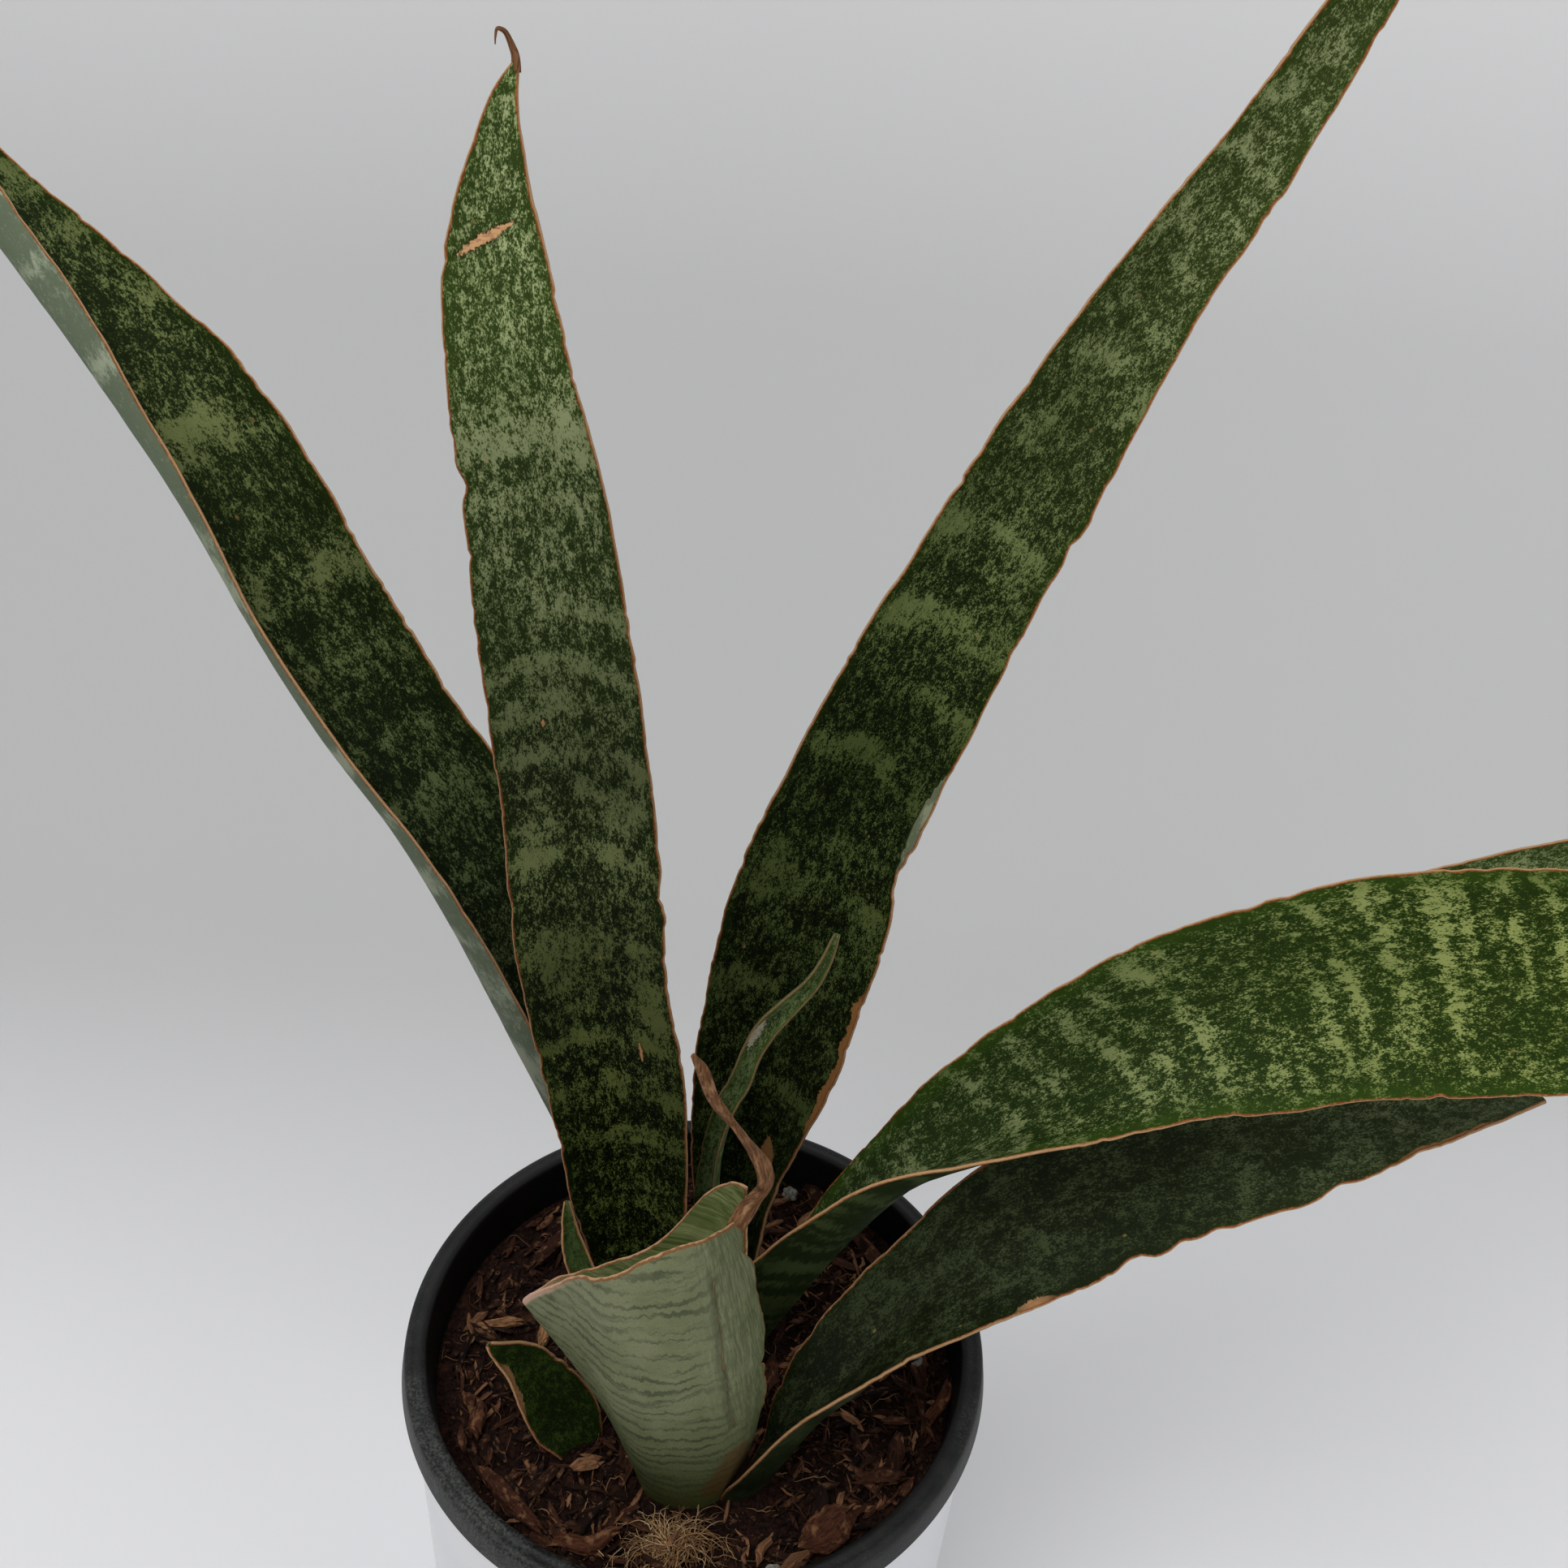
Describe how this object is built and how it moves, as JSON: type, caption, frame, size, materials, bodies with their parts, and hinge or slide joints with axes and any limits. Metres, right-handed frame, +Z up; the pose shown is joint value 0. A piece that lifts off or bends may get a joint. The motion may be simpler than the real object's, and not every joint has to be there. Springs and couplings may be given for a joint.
{
  "type": "potted snake plant",
  "caption": "Snake plant with stiff mottled green leaves, one rolled into a funnel, growing from a rhizome in bark mix, in a dark nursery pot set inside a white cachepot.",
  "frame": {"origin": "centre of the cachepot's underside, on the surface it stands on", "axes": "+Z up along the pots' axis; -Y is the front, which the tall leaves face; the leaves spread along X, the widest ones towards +X"},
  "size_m": [0.4693, 0.1853, 0.5002],
  "materials": {
    "cachepot": "satin",
    "nursery_pot": "satin",
    "potting_mix": "matte",
    "rhizome": "matte",
    "leaf": "satin",
    "leaf_pale": "satin",
    "bark": "matte",
    "grain": "matte",
    "coir": "matte"
  },
  "bodies": {
    "root": {"cachepot": "cachepot", "nursery_pot": "nursery_pot", "potting_mix": "potting_mix", "rhizome": "rhizome", "leaf_centre_tall": "leaf", "leaf_left": "leaf", "leaf_right_tall": "leaf", "leaf_right_arching": "leaf", "leaf_right_low": "leaf", "leaf_right_rear": "leaf", "leaf_front_curled": "leaf_pale", "leaf_young_twisted": "leaf", "leaf_small_left": "leaf", "leaf_basal_sheath": "leaf", "bark_chip_left": "bark", "bark_chip_upright": "bark", "bark_chip_rim_front_left": "bark", "bark_chip_front_right": "bark", "bark_chip_rim_right": "bark", "bark_chip_back_left": "bark", "bark_chip_back_right": "bark", "bark_chip_right_fan": "bark", "bark_chip_front": "bark", "bark_chip_low_left": "bark", "bark_chip_rear": "bark", "bark_chip_right_front": "bark", "perlite_grain_right": "grain", "perlite_grain_front": "grain", "gravel_grain_back": "grain", "coir_tuft": "coir"}
  },
  "joints": []
}
